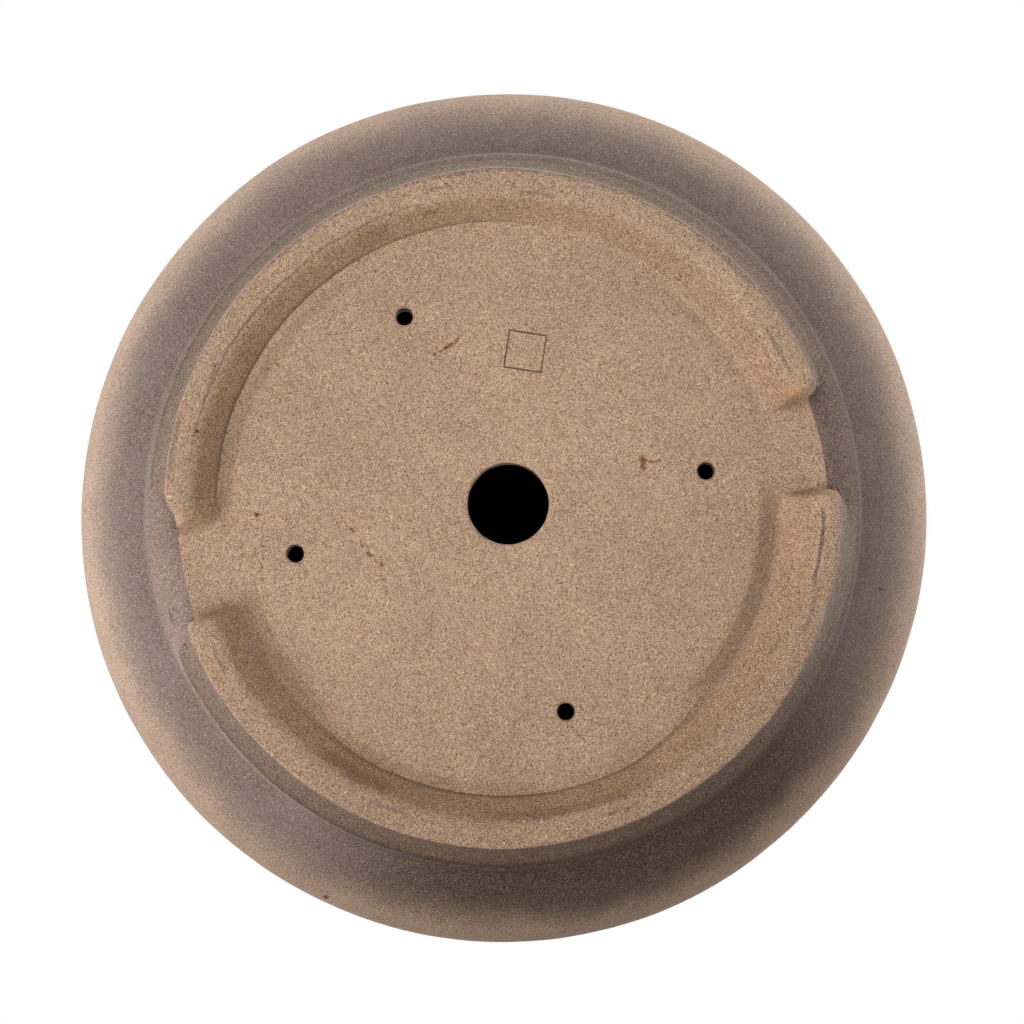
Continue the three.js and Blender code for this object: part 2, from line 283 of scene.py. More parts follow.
def drawn_oval(points):
    """Sets the belly and rim a little aside and out of round, as the finished pot is."""
    turn = np.arctan2(points[..., 1], points[..., 0])
    photo_turn = PHOTO_TURN - turn
    # the belly takes the whole of it, and the low step only what goes outward
    share = smooth(20, 48, points[..., 2])
    low_share = smooth(10.5, 16, points[..., 2])
    wide = (-0.12 + 0.17 * np.cos(photo_turn) + 0.66 * np.sin(photo_turn)
            - 0.38 * np.cos(2 * photo_turn) + 0.29 * np.sin(2 * photo_turn))
    shift = share * wide + (low_share - share) * np.maximum(wide, 0)
    out = points.copy()
    out[..., 0] += shift * np.cos(turn)
    out[..., 1] += shift * np.sin(turn)
    return out


def turned_piece(name, section, relief):
    """A closed section of radius and height turned round the axis and then handled."""
    theta = np.linspace(0, 2 * np.pi, COLUMNS, endpoint=False)
    radius, height = section[:, 0], section[:, 1]
    points = np.stack([
        np.cos(theta)[:, None] * radius,
        np.sin(theta)[:, None] * radius,
        np.broadcast_to(height, (COLUMNS, len(section))),
    ], -1)
    points = drawn_oval(relief(points, theta[:, None], radius[None, :], height[None, :]))
    return clay_piece(name, points.reshape(-1, 3), grid_quads(COLUMNS, len(section), True))


def wall_relief(points, theta, radius, height):
    """Slow wander and faint turning marks, with the corner's base and the top edge kept true."""
    moved = handmade(points, 0.12, 0.035, 0.012)
    keep = smooth(FLOOR_Z, FLOOR_Z + 2, height) * (1 - smooth(76, SHOULDER_TOP[1], height))
    marks = 0.03 * np.sin(height * 2.1 + 0.6 * np.sin(theta)) + 0.02 * np.sin(height * 4.7 + 1.3)
    direction = np.stack([np.cos(theta), np.sin(theta), np.zeros_like(theta)], -1)
    moved = points + (moved - points) * keep[..., None]
    return moved + (marks * keep)[..., None] * direction


wall = turned_piece("bowl_body", wall_section(), wall_relief)


# ---------- rim ----------
def rim_section():
    """Closed section of the rolled lip that sits on the wall's top edge."""
    inner = SHOULDER_TOP[0] - RIM_THICKNESS
    outer, base = SHOULDER_TOP
    centre = RIM_TOP - LIP_RADIUS
    turn = np.radians(np.linspace(0, 90, 12))
    outer_arc = np.stack([outer - RIM_LEAN - LIP_RADIUS + LIP_RADIUS * np.cos(turn),
                          centre + LIP_RADIUS * np.sin(turn)], 1)
    inner_arc = np.stack([inner + LIP_RADIUS - LIP_RADIUS * np.sin(turn),
                          centre + LIP_RADIUS * np.cos(turn)], 1)
    lower = eased([(inner + 2.5, base), (inner + 0.4, base + 0.6), (inner, base + 3.0),
                   inner_arc[-1]], [0.9, 1.4], 4)
    side = eased([(outer - 0.9, base), (outer + 0.05, base + 0.5), (outer - 0.3, base + 2.2),
                  outer_arc[0]], [0.35, 1.0], 4)
    seat = np.stack([np.linspace(inner + 2.5, outer - 0.9, 8)[1:-1], np.full(6, base)], 1)
    return spaced(np.concatenate([seat, side, outer_arc[1:], inner_arc, lower[::-1][1:]]), 1.6)


def rim_relief(points, theta, radius, height):
    """Slow wander and faint turning marks on top, with the seat kept true."""
    moved = handmade(points, 0.12, 0.04, 0.014)
    keep = smooth(SHOULDER_TOP[1], 82, height)
    marks = 0.03 * np.sin(radius * 2.6 + 0.5 * np.sin(theta)) * smooth(84, 88, height)
    lifted = points + (moved - points) * keep[..., None]
    lifted[..., 2] += marks - 0.12 * keep
    return lifted


rim = turned_piece("rim_roll", rim_section(), rim_relief)


# ---------- foot arcs ----------
def drawn_in(distance, radius):
    """How far a rounding has drawn in at a distance from the edge."""
    rest = np.clip(radius - distance, 0, None)
    return radius - np.sqrt(np.clip(radius * radius - rest * rest, 0, None))


# Each cut end: angle of its root in degrees, length of the slope up to the tread, rounding of the
# outer corner along the foot and the radius it starts from, and rounding of the root corner
ENDS = {
    "foot_back_moulding": [
        (7.55, 2.9, 2.4, 113.2, 2.2),
        (172.0, 2.8, 5.0, 113.0, 4.2),
    ],
    "foot_front_moulding": [
        (188.05, 6.0, 9.0, 111.3, 6.0),
        (351.3, 3.8, 3.0, 112.8, 3.2),
    ],
}
# Radius where the tread turns into the flank, and the length in which the flank fades at an end
TREAD_OUT = 115.2
FLANK_FADE = 11.0
# Dents and proud spots of the inner flank: angle, radius, size along and across, depth
DENTS = [
    (92, 103.6, 9.0, 1.6, 0.55), (103, 104.0, 5.0, 1.3, 0.35), (129, 103.8, 5.0, 1.5, 0.5),
    (136, 101.5, 4.0, 1.4, 0.4), (256.5, 103.2, 3.2, 2.6, 0.35), (267.5, 104.6, 2.0, 1.0, 0.35),
    (158, 104.2, 6.0, 1.2, 0.35), (38, 103.2, 2.6, 0.8, 0.35), (300, 103.5, 8, 2.0, -0.2),
    (225, 102.0, 12, 2.2, -0.2), (20, 101.0, 12, 2.6, -0.25),
]
# Rows of faces that close a cut end, and the radius at which lengths along the foot are taken
CAP_ROWS = 9
FOOT_MIDDLE = 110.0


def end_distances(end):
    """Distances of the stations from a cut end, as far in as its shaping reaches."""
    near = 3.0 * (1 - np.cos(np.radians(np.linspace(0, 90, 15))))
    reach = FLANK_FADE + end[2] + 0.6
    return np.concatenate([near, np.arange(3.0, reach, 0.6)[1:]]), reach


def end_rise(radius, from_end, end):
    """Share of the full moulding that stands at a distance from its cut end."""
    _, slope, corner, corner_from, _ = end
    start = corner * np.clip((radius - corner_from) / (TREAD_OUT - corner_from), 0, 1) ** 1.6
    flank = smooth(TREAD_OUT - 0.2, TREAD_OUT + 2.6, radius)
    t = np.clip((from_end - start) / (slope + (FLANK_FADE - slope) * flank), 0, 1)
    return (1 - flank) * (t * (2 - t)) ** 0.6 + flank * smooth(0, 1, t)


def foot_section(theta, from_end, end):
    """Visible line of the foot at an angle, from the root out to the wall, as radius and height."""
    root_corner = end[4]
    root = float(round_table(ROOT, theta)) + drawn_in(from_end, root_corner)
    crease = float(round_table(CREASE, theta)) + drawn_in(from_end, 0.5 * root_corner)
    tread_edge = float(round_table(TREAD_EDGE, theta))
    top = FOOT_TOP_RADIUS
    open_joint = float(round_table(ROOT_LINE, theta)) * float(smooth(1.0, 9.0, from_end))
    way = facing(theta)[:2]
    toe = 4.0 * (1 - open_joint)
    toe_z, root_z = slab_z(np.array([root - toe, root])[:, None] * way)
    crease = min(crease, tread_edge - 1.2)
    width = crease - root
    line = eased(
        [
            (root - toe + 0.55 * open_joint, toe_z + 0.15 + 0.35 * open_joint),
            (root, root_z + 0.08 - 0.43 * open_joint),
            (root + 0.2 * width, 0.765 * root_z - 0.15),
            (crease - 0.05 * width, 0.45),
            (tread_edge - 0.2, 0.0),
            (tread_edge + 0.25, 2.2),
            (tread_edge + 0.34 * (top - tread_edge), 0.47 * corner_height(top)),
            (top, float(corner_height(top)) + 0.12),
        ],
        [0.35 + toe, 2.4, 3.6, 0.85, 2.0, 3.5],
        5,
    )
    under = slab_z(line[:, :1] * way)
    ground = np.where(line[:, 0] < CORNER_INNER, under, corner_height(line[:, 0])) + 0.2
    share = end_rise(line[:, 0], from_end, end)
    line[:, 1] = ground - (ground - line[:, 1]) * share
    return line


def foot_worked(points):
    """Slight waviness below the slab and the dents, with the tread ground level."""
    moved = handmade(points, 0.05, 0.07, 0.05)
    radius = np.hypot(points[..., 0], points[..., 1])
    angle = np.degrees(np.arctan2(points[..., 1], points[..., 0])) % 360
    low = smooth(FLOOR_Z + 0.3, FLOOR_Z - 1.5, points[..., 2])
    out = points + (moved - points) * low[..., None]
    out[..., 2] = np.maximum(out[..., 2], 0.0)
    for at, middle_radius, along, across, depth in DENTS:
        arc = np.radians((angle - at + 180) % 360 - 180) * middle_radius
        dent = depth * np.exp(-(arc / along) ** 2 - ((radius - middle_radius) / across) ** 2)
        out[..., 2] += dent * smooth(0.1, 1.2, points[..., 2]) * low
    return out


def foot_rows(name):
    """Points at stations along a foot: its visible section, and the seat hidden above it."""
    first, last = ENDS[name]
    (near, reach), (far, far_reach) = end_distances(first), end_distances(last)
    plain = np.arange(first[0] + math.degrees(reach / FOOT_MIDDLE),
                      last[0] - math.degrees(far_reach / FOOT_MIDDLE), 360 / COLUMNS)
    stations = [(first[0] + math.degrees(s / FOOT_MIDDLE), s, first) for s in near]
    stations += [(angle, 1e3, first) for angle in plain]
    stations += [(last[0] - math.degrees(s / FOOT_MIDDLE), s, last) for s in far[::-1]]
    visible, seats = [], []
    for at, from_end, end in stations:
        line = foot_section(at, from_end, end)
        u = np.linspace(0, 1, len(line))
        radius = line[0, 0] + (line[-1, 0] - line[0, 0]) * u
        height = np.where(radius < CORNER_INNER, FLOOR_Z + 1.4, corner_height(radius) + 1.4)
        ease = np.minimum(1, np.minimum(u, 1 - u) * 8)
        base = line[0, 1] + (line[-1, 1] - line[0, 1]) * u
        seat = np.stack([radius, base + (height - base) * ease], 1)
        for part, store in ((line, visible), (seat, seats)):
            store.append(np.column_stack([part[:, :1] * facing(at)[:2], part[:, 1]]))
    visible, seats = foot_worked(np.array(visible)), foot_worked(np.array(seats))
    seats[:, 0], seats[:, -1] = visible[:, 0], visible[:, -1]
    return visible, seats


def foot_arc(name):
    """One moulded arc: visible sections, hidden seat and two cut ends, welded where they meet."""
    visible, seats = foot_rows(name)
    share = np.linspace(0, 1, CAP_ROWS + 1)[:, None, None]
    caps = [visible[row] * (1 - share) + seats[row] * share for row in (0, -1)]
    points, faces = [], []
    for sheet, order in ((visible, [0, 1, 2, 3]), (seats, [0, 3, 2, 1]),
                         (caps[0], [0, 3, 2, 1]), (caps[1], [1, 2, 3, 0])):
        faces.append(grid_quads(*sheet.shape[:2], False)[:, order] + sum(map(len, points)))
        points.append(sheet.reshape(-1, 3))
    return clay_piece(name, np.concatenate(points), *faces)


foot_back = foot_arc("foot_back_moulding")
foot_front = foot_arc("foot_front_moulding")


# ---------- floor slab ----------
# The holes and the stamp lie in a field of triangles inside this radius, with rings outside it
FIELD_RADIUS = 84.0
FIELD_GAP = 2.2
STAMP_COS, STAMP_SIN, _ = facing(STAMP_TURN)
STAMP_AXES = np.array([[STAMP_COS, -STAMP_SIN], [STAMP_SIN, STAMP_COS]])
STAMP_LINE = np.linspace(-STAMP_PATCH, STAMP_PATCH, STAMP_CELLS + 1)


def ring(centre, radius, count, start=0.0):
    """Points on a circle."""
    angle = np.linspace(0, 2 * np.pi, count, endpoint=False) + start
    return np.stack([centre[0] + radius * np.cos(angle), centre[1] + radius * np.sin(angle)], 1)


def stamp_depth(u, v):
    """Depth at a place along the stamp's sides: a worn line round a lightly pressed square."""
    edge = np.maximum(np.abs(u), np.abs(v)) - STAMP_HALF
    worn = 0.36 + 0.1 * np.sin(u * 0.5 + 1) + 0.08 * np.sin(v * 0.7)
    return np.exp(-(edge / 0.22) ** 2) * worn + 0.08 * smooth(0.3, -0.6, edge)


def flat_field(with_stamp):
    """Triangulated disc inside the field's radius, open at the holes and where the stamp is."""
    points, edges, loops = [], [], []

    def add_loop(loop):
        start = len(points)
        points.extend(loop.tolist())
        edges.extend([(start + k, start + (k + 1) % len(loop)) for k in range(len(loop))])
        loops.append(np.arange(start, start + len(loop)))

    add_loop(ring((0, 0), FIELD_RADIUS, COLUMNS))
    for x, y, radius, mouth, sides in HOLES:
        add_loop(ring((x, y), radius + mouth, sides))
    if with_stamp:
        line = STAMP_LINE[:-1]
        square = [(a, -STAMP_PATCH) for a in line] + [(STAMP_PATCH, a) for a in line]
        square += [(-a, STAMP_PATCH) for a in line] + [(-STAMP_PATCH, -a) for a in line]
        add_loop(np.array(square) @ STAMP_AXES.T + STAMP_CENTRE)
    for k, y in enumerate(np.arange(-FIELD_RADIUS, FIELD_RADIUS, FIELD_GAP * 0.866)):
        for x in np.arange(-FIELD_RADIUS, FIELD_RADIUS, FIELD_GAP) + (k % 2) * FIELD_GAP / 2:
            if math.hypot(x, y) > FIELD_RADIUS - 1.2:
                continue
            if any(math.hypot(x - hx, y - hy) < r + mouth + 0.8 for hx, hy, r, mouth, _ in HOLES):
                continue
            local = STAMP_AXES.T @ (np.array([x, y]) - STAMP_CENTRE)
            if with_stamp and np.abs(local).max() < STAMP_PATCH + 0.7:
                continue
            points.append([x, y])
    for x, y, radius, mouth, sides in HOLES:
        for extra in (0.5, 1.2):
            points.extend(ring((x, y), radius + mouth + extra, sides, extra).tolist())
    verts, _, faces, _, _, _ = delaunay_2d_cdt([Vector(p) for p in points], edges, [], 1, 1e-7)
    verts = np.array([list(v) for v in verts])
    faces = np.array(faces, np.int64)
    keep = np.ones(len(faces), bool)
    for loop in loops[1:]:
        on_loop = np.zeros(len(verts), bool)
        on_loop[loop] = True
        keep &= ~on_loop[faces].all(1)
    return verts, faces[keep], loops


def slab():
    """The floor: handled underside with the stamp, level top side, and the holes through both."""
    points, quads, triangles = [], [], []

    def add(xy, z):
        """Adds points at a height and gives their numbers."""
        first = sum(len(placed) for placed in points)
        points.append(np.column_stack([xy, np.broadcast_to(z, len(xy))]))
        return np.arange(first, first + len(xy))

    def join(rows, facing_up):
        """Quads between closed rows of points."""
        for a, b in zip(rows, rows[1:]):
            quad = np.stack([a, np.roll(a, -1), np.roll(b, -1), b], 1)
            quads.append(quad if facing_up else quad[:, ::-1])

    # underside
    verts, faces, loops = flat_field(True)
    at = add(verts, slab_z(verts))
    triangles.append(at[faces[:, ::-1]])
    low_loops = [at[loop] for loop in loops]
    # impressed square
    v, u = (side.ravel() for side in np.meshgrid(STAMP_LINE, STAMP_LINE, indexing="ij"))
    xy = np.stack([u, v], 1) @ STAMP_AXES.T + STAMP_CENTRE
    at = add(xy, slab_z(xy) + stamp_depth(u, v))
    quads.append(at[grid_quads(STAMP_CELLS + 1, STAMP_CELLS + 1, False)])
    # rings of the underside outside the field, then the slab's edge
    rows = [low_loops[0]]
    for radius in np.append(np.arange(FIELD_RADIUS + 1, 110.5, 1.0), [110.6, 111.1]):
        xy = ring((0, 0), radius, COLUMNS)
        rows.append(add(xy, slab_z(xy)))
    for radius, z in ((FLOOR_RADIUS, FLOOR_Z + 0.01), (FLOOR_RADIUS, FLOOR_Z + 0.5),
                      (FLOOR_RADIUS, FLOOR_TOP - 0.3), (FLOOR_RADIUS - 0.3, FLOOR_TOP)):
        rows.append(add(ring((0, 0), radius, COLUMNS), z))
    # top side
    verts, faces, loops = flat_field(False)
    wave = middle[2](np.column_stack([verts, np.zeros(len(verts))]))
    fade = smooth(FIELD_RADIUS, FIELD_RADIUS - 20, np.hypot(*verts.T))
    at = add(verts, FLOOR_TOP + 0.12 * wave * fade)
    triangles.append(at[faces])
    top_loops = [at[loop] for loop in loops]
    join(rows + [top_loops[0]], False)
    # hole mouths and bores
    arc = np.radians([30, 60, 90])
    for (x, y, radius, mouth, sides), low, high in zip(HOLES, low_loops[1:], top_loops[1:]):
        wide = radius + mouth * (1 - np.sin(arc))
        rise = mouth * (1 - np.cos(arc))
        profile = list(zip(wide, FLOOR_Z + 1.5 * rise))
        profile += [(radius, z) for z in np.linspace(FLOOR_Z + 2.5, FLOOR_TOP - 2, 6)]
        profile += list(zip(wide, FLOOR_TOP - rise))[::-1]
        rows = [low]
        for r, z in profile:
            xy = ring((x, y), r, sides)
            spot = np.column_stack([xy, np.full(sides, z)]) * 1.3
            rows.append(add(xy + 0.04 * np.stack([fine[0](spot), fine[1](spot)], 1), z))
        join(rows + [high], True)
    return clay_piece("slab_body", np.concatenate(points), *quads, *triangles)


# Each piece with the node it replaces, its material slot and the kind of clay it shows
PIECES = [
    (slab(), "floor_slab", "bare_clay", "floor"),
    (wall, "bowl_wall", "washed_clay", "wall"),
    (rim, "rim_band", "rim_clay", "rim"),
    (foot_back, "foot_arc_back", "foot_clay", "foot"),
    (foot_front, "foot_arc_front", "foot_clay", "foot"),
]
for piece, node, slot, _ in PIECES:
    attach(piece, "root")
    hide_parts(node)


# ---------- fired clay ----------
def linear(red, green, blue):
    """A shader colour from the red, green and blue of a screen, 0 to 255."""
    def one(value):
        value /= 255
        return value / 12.92 if value <= 0.04045 else ((value + 0.055) / 1.055) ** 2.4

    return (one(red), one(green), one(blue), 1.0)


class Nodes:
    """A node tree written as small steps, whose values are numbers, colours or sockets."""

    def __init__(self, tree):
        self.tree = tree
        tree.nodes.clear()

    def node(self, kind, inputs=(), **settings):
        """A new node, with what goes into its inputs by number or name."""
        made = self.tree.nodes.new(kind)
        for key, value in settings.items():
            setattr(made, key, value)
        for key, value in dict(inputs).items():
            if hasattr(value, "is_output"):
                self.tree.links.new(value, made.inputs[key])
            else:
                made.inputs[key].default_value = value
        return made

    def math(self, operation, a, b=0.0, c=0.0):
        return self.node("ShaderNodeMath", {0: a, 1: b, 2: c}, operation=operation).outputs[0]

    def product(self, *values):
        return functools.reduce(functools.partial(self.math, "MULTIPLY"), values)

    def greatest(self, *values):
        return functools.reduce(functools.partial(self.math, "MAXIMUM"), values)

    def ramp(self, value, low, high, to_low=0.0, to_high=1.0, soft=True):
        made = self.node("ShaderNodeMapRange", enumerate((value, low, high, to_low, to_high)),
                         interpolation_type="SMOOTHSTEP" if soft else "LINEAR")
        return made.outputs[0]


class Clay(Nodes):
    """A clay material, with what all kinds of it share: places in mm, slow noise and the sand."""

    def __init__(self, name):
        self.material = bpy.data.materials.new(name)
        self.material.use_nodes = True
        super().__init__(self.material.node_tree)
        self.place = self.node("ShaderNodeTexCoord").outputs["Object"]
        x, y, z = self.node("ShaderNodeSeparateXYZ", {0: self.place}).outputs
        self.flat = self.node("ShaderNodeCombineXYZ", {0: x, 1: y}).outputs[0]
        self.way = self.vector("NORMALIZE", self.flat)
        self.radius = self.product(self.vector("LENGTH", self.flat), 1 / MM)
        self.height = self.product(z, 1 / MM)
        # 1 on the outside of the bowl and 0 on its inside
        outward = self.math("MULTIPLY_ADD", self.height, -1.1, self.radius)
        self.outside = self.ramp(outward, 93.5, 99.0)
        self.cloud = self.noise(CLOUDS, 2.0, 0.5)
        self.drift = self.noise(DRIFTS, 3.0, 0.55)
        self.rough = self.noise(ROUGHNESS, 3.0, 0.65)
        sway = self.vector("SUBTRACT", self.noise(SWAYS, 2.0, 0.5, 1), (0.5, 0.5, 0.5))
        self.swayed = self.vector("ADD", self.flat, self.vector("SCALE", sway, 1.4 * MM))
        small, self.speck = self.cells(SMALL_GRAINS)
        coarse, self.droplet = self.cells(COARSE_GRAINS)
        self.pit, self.glint = self.cells(FLECKS)
        grain = self.math("ADD", self.product(small, 0.85), self.product(coarse, 0.15))
        self.grain = self.ramp(grain, 0.18, 0.82, 0.0, 1.0, False)

    def vector(self, operation, a, b=(0, 0, 0)):
        made = self.node("ShaderNodeVectorMath", {0: a, "Scale" if operation == "SCALE" else 1: b},
                         operation=operation)
        return made.outputs["Value" if operation in ("LENGTH", "DOT_PRODUCT") else "Vector"]

    def toward(self, direction, low, high, to_low=0.0, to_high=1.0):
        """A ramp round the axis, from the cosine of the angle to a direction."""
        cosine = self.vector("DOT_PRODUCT", self.way, direction)
        return self.ramp(cosine, low, high, to_low, to_high)

    def band(self, value, middle, half, soft):
        """1 within the half width of a middle value, fading to 0 over the soft width."""
        off = self.math("ABSOLUTE", self.math("SUBTRACT", value, middle))
        return self.ramp(off, half, half + soft, 1.0, 0.0)

    def mix(self, share, a, b):
        return self.node("ShaderNodeMix", {0: share, 6: a, 7: b}, data_type="RGBA").outputs[2]

    def noise(self, scale, detail, roughness, output=0):
        inputs = {"Vector": self.place, "Scale": scale, "Detail": detail, "Roughness": roughness}
        return self.node("ShaderNodeTexNoise", inputs).outputs[output]

    def cells(self, scale):
        """Two random values from 0 to 1 for each cell of a size."""
        made = self.node("ShaderNodeTexVoronoi", {"Vector": self.place, "Scale": scale})
        return self.node("ShaderNodeSeparateColor", {0: made.outputs["Color"]}).outputs[:2]

    def local(self, where, x, y, turn=0.0, long=1.0, wide=1.0):
        """Place from a point, along and across a direction, in units of two lengths in mm."""
        inputs = {"Vector": where, "Location": (x * MM, y * MM, 0),
                  "Rotation": (0, 0, math.radians(turn)), "Scale": (long * MM, wide * MM, 1)}
        return self.node("ShaderNodeMapping", inputs, vector_type="TEXTURE").outputs[0]

    def spots(self, marks, soft=0.35):
        """1 inside any of the ellipses: x, y, half length, half width, turn and strength."""
        found = []
        for x, y, long, wide, turn, strength in marks:
            length = self.vector("LENGTH", self.local(self.swayed, x, y, turn, long, wide))
            found.append(self.ramp(length, 1.0, soft, 0.0, strength))
        return self.greatest(*found)

    def strokes(self, marks, radius):
        """Marks along arcs: angle, half its length in degrees, radius, half width and strength."""
        found = []
        for theta, half, middle_radius, width, strength in marks:
            whole, faded = (math.cos(math.radians(a)) for a in (half * 0.7, half * 1.35 + 0.5))
            along = self.toward(facing(theta), faded, whole, 0.0, strength)
            across = self.band(radius, middle_radius, width * 0.5, width)
            found.append(self.product(along, across))
        return self.greatest(*found)


# Noise and grains in each metre: clouds and drifts of colour, swayed edges of marks, roughness,
# small and coarse grains of sand, and flecks far apart
CLOUDS, DRIFTS, SWAYS, ROUGHNESS = 14, 60, 900, 1500
SMALL_GRAINS, COARSE_GRAINS, FLECKS = 5800, 3900, 2300

SAND_DARK = linear(105, 79, 52)
SAND_LIGHT = linear(232, 196, 168)
SAND_PIT = linear(64, 56, 56)
SAND_SPECK = linear(255, 226, 182)
DARK_GRAIN = linear(52, 48, 54)
GOLDEN_GRAIN = linear(255, 220, 160)
GIRTH_SAND_DARK = linear(132, 110, 95)
GIRTH_SAND_LIGHT = linear(195, 170, 150)
# The brown wash colours also carry painted shade on one side
WASH_LIGHT = linear(105, 91, 88)
WASH_BROWN = linear(35, 21, 16)
FLANK_WASH = linear(60, 50, 48)
FLANK_BROWN = linear(48, 34, 29)
# Pooled wash along the step: smoother wash whose pale colour is partly a painted highlight
POOLED = linear(124, 115, 116)
POOLED_BROWN = linear(66, 54, 50)
RUST = linear(146, 88, 38)
SMEAR = linear(80, 66, 67)
# Dark pits and joint, and painted shade beside the root, in the dents and round the wire holes
SHADE_AND_DARK_MARK = linear(92, 68, 52)
# Dark brown of rust, the stamp's line and the cracks, and painted shade in the bores
DARK_BROWN_AND_SHADE = linear(62, 37, 18)
EMBER = linear(204, 144, 88)
# Painted highlight and painted shade along the flank's lower arris
ARRIS_HIGHLIGHT = linear(156, 146, 142)
ARRIS_SHADE = linear(74, 68, 70)

# Marks on the underside: x, y, half length, half width, turn, strength
RUST_MARKS = [
    (-12.6, -57.1, 0.9, 0.7, 0, 0.9), (-10.4, -57.9, 1.6, 0.7, -10, 0.7),
    (-7.4, -58.9, 3.2, 1.0, -18, 1), (-4.2, -60.4, 1.8, 0.8, -30, 0.95),
    (50.2, -7.4, 2.5, 1.5, 80, 1), (49.9, -5.2, 1.7, 1.1, 40, 1), (53.2, -6.4, 2.4, 0.7, 12, 0.7),
    (55.8, -6.3, 1.1, 0.8, 0, 0.9), (46.9, -7.5, 1.0, 0.7, 0, 0.6), (-51.9, -3.4, 1.3, 0.9, 60, 1),
    (-49.6, 2.6, 1.4, 0.8, 60, 0.8), (-47.8, 5.8, 1.6, 1.0, 55, 1), (-46.0, 8.3, 0.9, 0.6, 50, 0.7),
    (-44.3, 10.0, 1.3, 0.9, 60, 1), (-44.4, 15.4, 1.2, 0.7, 20, 0.8),
]
FLOOR_PITS = [
    (-82.8, -14.8, 1.3, 1.1, 30, 1.0), (-110.3, -14.3, 1.6, 0.5, 97, 1.0),
    (-38.6, 41.9, 2.4, 0.34, -20, 0.55), (-34.4, 42.2, 2.2, 0.34, 40, 0.55),
    (-31.0, 46.0, 3.4, 0.34, 48, 0.45),
]
TREAD_PITS = [
    (-96.7, -46.1, 1.0, 0.8, 40, 0.9), (-74.4, 80.6, 0.8, 0.5, 20, 0.6),
    (36.5, 105.6, 0.9, 0.5, 80, 0.6),
]
# Hair cracks and chipped spots of the wall, and spots where the flame licked the foot's ends
WALL_NICKS = [
    (-118.6, 13.2, 3.4, 0.35, 84, 0.7), (-116.9, 11.4, 1.6, 0.3, 50, 0.6),
    (-86.5, 118.6, 1.2, 1.0, 0, 0.8), (122.5, 51.5, 1.0, 0.8, 0, 0.8),
]
EMBERS = [(105.2, -20.0, 7.4, 4.4, 11, 0.55), (-106.2, -20.6, 6.0, 4.8, 20, 0.3)]
# Marks along the foot: angle, half its length, radius, half width, strength
FOOT_SMEARS = [
    (18.5, 6.5, 108.6, 0.55, 1.0), (189.4, 2.8, 113.8, 2.2, 0.5), (232, 28, 107.9, 0.4, 0.7),
    (29, 4, 110.0, 0.8, 0.5), (80, 3.0, 109.2, 0.7, 0.5), (122, 3.0, 108.2, 0.6, 0.5),
    (163, 2.4, 109.0, 0.7, 0.5), (216, 2.2, 108.9, 0.6, 0.6), (270, 1.6, 112.0, 0.5, 0.5),
    (287, 3.0, 108.1, 0.6, 0.5), (341, 4.0, 108.0, 0.7, 0.6), (202, 5, 114.0, 0.8, 0.5),
    (323, 6, 113.8, 0.7, 0.5),
]
# Painted shade in the dents of the inner flank and on the slopes of the cut ends, in the same terms
FOOT_PAINTED_SHADE = [
    (90, 12, 104.4, 1.5, 0.5), (130, 6, 102.6, 2.0, 0.6), (255.5, 3.2, 103.2, 2.4, 0.32),
    (267.5, 1.0, 104.6, 0.6, 0.5), (158, 4, 104.2, 0.8, 0.4), (38, 2.0, 103.2, 0.6, 0.4),
    (350.9, 0.9, 108.5, 4.5, 0.42), (7.9, 0.8, 106.0, 5.5, 0.4), (171.6, 1.0, 108.5, 5.0, 0.42),
]
# Painted shade on the ground beside the root, in the same terms
FLOOR_ROOT_SHADE = [
    (31, 21, 91.0, 3.1, 0.5), (334, 16, 93.0, 1.4, 0.2), (158, 14, 91.5, 2.6, 0.34),
    (200, 12, 95.2, 2.2, 0.3), (70, 20, 94.5, 1.2, 0.08), (224, 22, 94.8, 1.8, 0.3),
    (112, 16, 94.6, 1.6, 0.24),
]
# Where the wash is densest and brownest, a side also painted darker as shade; where pooled wash
# along the step is painted lightest as a highlight; where the wash is painted lighter as a sheen;
# where the belly is painted a little darker as shade; where the flank's lower arris is painted
# palest as a highlight; where the foot's inner flank is painted darker as shade; and the two
# stretches of the root whose joint is darker
BROWN_AND_SHADED_FACING = facing(83)
POOL_HIGHLIGHT_FACING = facing(-50)
SHEEN_FACING = facing(135)
BELLY_SHADE_FACING = facing(208)
ARRIS_HIGHLIGHT_FACING = (0.0, -1.0, 0.0)
FLANK_SHADE_FACING = facing(298)
JOINT_FACINGS = (facing(100), facing(240))
# Height of the ledge above the step, where wash pooled, and height of the bores' mouths
LEDGE = 16.5
BORE_START = 10.3


